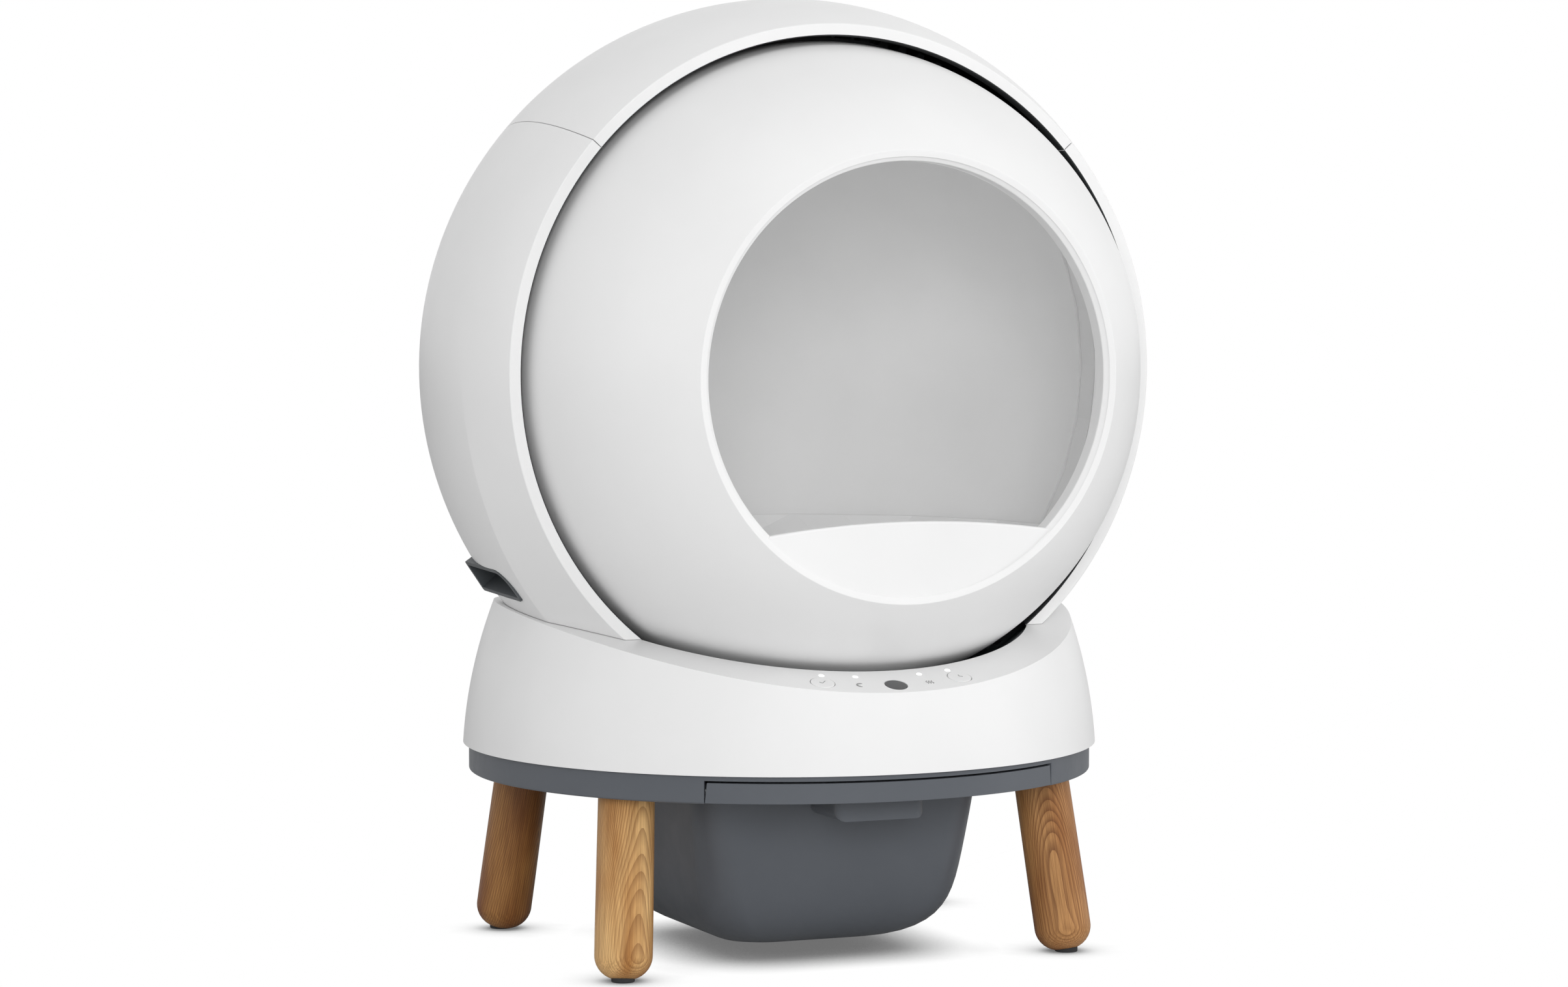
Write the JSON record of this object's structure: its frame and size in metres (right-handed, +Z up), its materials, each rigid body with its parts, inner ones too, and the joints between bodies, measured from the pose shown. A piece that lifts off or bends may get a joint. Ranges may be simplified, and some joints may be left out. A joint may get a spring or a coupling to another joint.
{
  "type": "self cleaning litter box",
  "caption": "Globe-shaped rotating litter box with a round entry, a split casing, a scooped base on splayed wooden legs and a slide-out waste drawer under it.",
  "frame": {"origin": "on the floor, under the middle of the four legs and midway between the entry rim and the casing's back", "axes": "+Z up, -Y out of the cat's entry, +X to the right of someone who looks into the entry; the drum turns about a level axis along Y, 0.458 m above the floor"},
  "size_m": [0.5806, 0.5179, 0.748],
  "materials": {
    "white_shell": "satin moulded white",
    "grey_plastic": "satin moulded light grey",
    "dark_plastic": "satin moulded blue-grey",
    "black_plastic": "fine-grained black",
    "rubber": "matt",
    "oak": "oiled, grain along the leg",
    "steel": "zinc plated",
    "board": "lacquered circuit board",
    "clear_lens": "clear polished",
    "dark_window": "polished smoked"
  },
  "bodies": {
    "base": {"base_shell": "white_shell", "chassis": "dark_plastic", "cradle": "black_plastic", "casing_left": "white_shell", "casing_right": "white_shell", "handle_cup_left": "black_plastic", "handle_cup_right": "black_plastic", "leg_front_left": "oak", "leg_front_right": "oak", "leg_rear_left": "oak", "leg_rear_right": "oak", "foot_pad_front_left": "rubber", "foot_pad_front_right": "rubber", "foot_pad_rear_left": "rubber", "foot_pad_rear_right": "rubber", "leg_stud_front_left": "steel", "leg_stud_front_right": "steel", "leg_stud_rear_left": "steel", "leg_stud_rear_right": "steel", "base_screw_front_left": "steel", "base_screw_front_right": "steel", "base_screw_rear_left": "steel", "base_screw_rear_right": "steel", "axle_front_left": "steel", "axle_front_right": "steel", "axle_rear_left": "steel", "axle_rear_right": "steel", "gearbox": "black_plastic", "motor": "steel", "control_board": "board", "light_guide": "clear_lens", "sensor_window": "dark_window", "power_inlet": "black_plastic", "drawer_rail_left": "steel", "drawer_rail_right": "steel"},
    "bonnet": {"bonnet": "white_shell"},
    "drum": {"drum_front": "white_shell", "entry_rim": "white_shell", "drum_rear": "grey_plastic", "ring_gear": "dark_plastic", "litter_liner": "grey_plastic", "sifting_grille": "grey_plastic", "port_seal": "rubber"},
    "pinion": {"drive_pinion": "steel"},
    "roller_front_left": {"roller_front_left": "rubber"},
    "roller_front_right": {"roller_front_right": "rubber"},
    "roller_rear_left": {"roller_rear_left": "rubber"},
    "roller_rear_right": {"roller_rear_right": "rubber"},
    "drawer": {"waste_tub": "dark_plastic", "drawer_front": "dark_plastic", "drawer_grip": "dark_plastic", "bag_frame": "dark_plastic"},
    "button_left": {"button_left": "white_shell"},
    "button_right": {"button_right": "white_shell"}
  },
  "joints": [
    {"name": "drum_spin", "type": "hinge", "parent": "base", "child": "drum", "pos_m": [0, 0, 0.458], "axis": [0, 1, 0], "continuous": true},
    {"name": "pinion_spin", "type": "hinge", "parent": "base", "child": "pinion", "pos_m": [-0.14535, -0.038, 0.20625], "axis": [0, 1, 0], "continuous": true},
    {"name": "roller_front_left_spin", "type": "hinge", "parent": "base", "child": "roller_front_left", "pos_m": [-0.16035, -0.056, 0.2373], "axis": [0, 1, 0], "continuous": true},
    {"name": "roller_front_right_spin", "type": "hinge", "parent": "base", "child": "roller_front_right", "pos_m": [0.16035, -0.056, 0.2373], "axis": [0, 1, 0], "continuous": true},
    {"name": "roller_rear_left_spin", "type": "hinge", "parent": "base", "child": "roller_rear_left", "pos_m": [-0.08874, 0.108, 0.25869], "axis": [0, 1, 0], "continuous": true},
    {"name": "roller_rear_right_spin", "type": "hinge", "parent": "base", "child": "roller_rear_right", "pos_m": [0.08874, 0.108, 0.25869], "axis": [0, 1, 0], "continuous": true},
    {"name": "drawer_slide", "type": "slide", "parent": "base", "child": "drawer", "axis": [0, -1, 0], "range_m": [0, 0.3]},
    {"name": "bonnet_lift", "type": "slide", "parent": "base", "child": "bonnet", "axis": [0, 0, 1], "range_m": [0, 0.15]},
    {"name": "button_left_press", "type": "slide", "parent": "base", "child": "button_left", "axis": [0, 0.3119, -0.9501], "range_m": [0, 0.0012], "stiffness_N_per_m": 800},
    {"name": "button_right_press", "type": "slide", "parent": "base", "child": "button_right", "axis": [0, 0.3119, -0.9501], "range_m": [0, 0.0012], "stiffness_N_per_m": 800}
  ],
  "couplings": [
    {"joint": "pinion_spin", "follows": "drum_spin", "ratio": -10},
    {"joint": "roller_front_left_spin", "follows": "drum_spin", "ratio": -19.954},
    {"joint": "roller_front_right_spin", "follows": "drum_spin", "ratio": -19.954},
    {"joint": "roller_rear_left_spin", "follows": "drum_spin", "ratio": -15.752},
    {"joint": "roller_rear_right_spin", "follows": "drum_spin", "ratio": -15.752}
  ]
}
